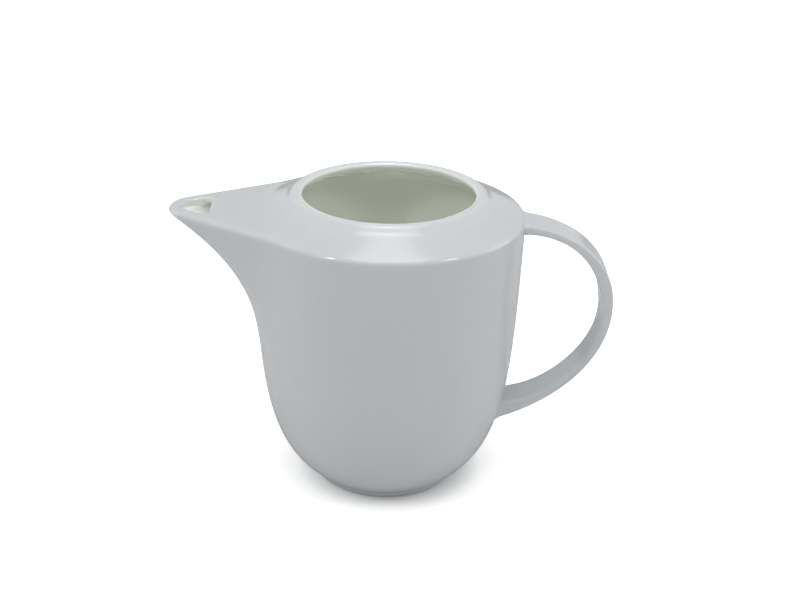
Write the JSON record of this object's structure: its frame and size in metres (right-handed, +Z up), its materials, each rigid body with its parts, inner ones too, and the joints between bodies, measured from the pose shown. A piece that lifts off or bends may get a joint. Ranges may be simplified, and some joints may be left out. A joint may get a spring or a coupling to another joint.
{
  "type": "coffee pot",
  "caption": "Open porcelain coffee pot with a round belly, raised collar, roofed beak spout and flat strap handle, standing without its lid.",
  "frame": {"origin": "on the table, under the middle of the pot's overall length and width", "axes": "+Z up, +X towards the handle, -X towards the spout"},
  "size_m": [0.2036, 0.124, 0.1404],
  "materials": {
    "glazed_porcelain": "clear gloss glaze over white porcelain"
  },
  "bodies": {
    "root": {"body": "glazed_porcelain", "spout": "glazed_porcelain", "handle": "glazed_porcelain"}
  },
  "joints": []
}
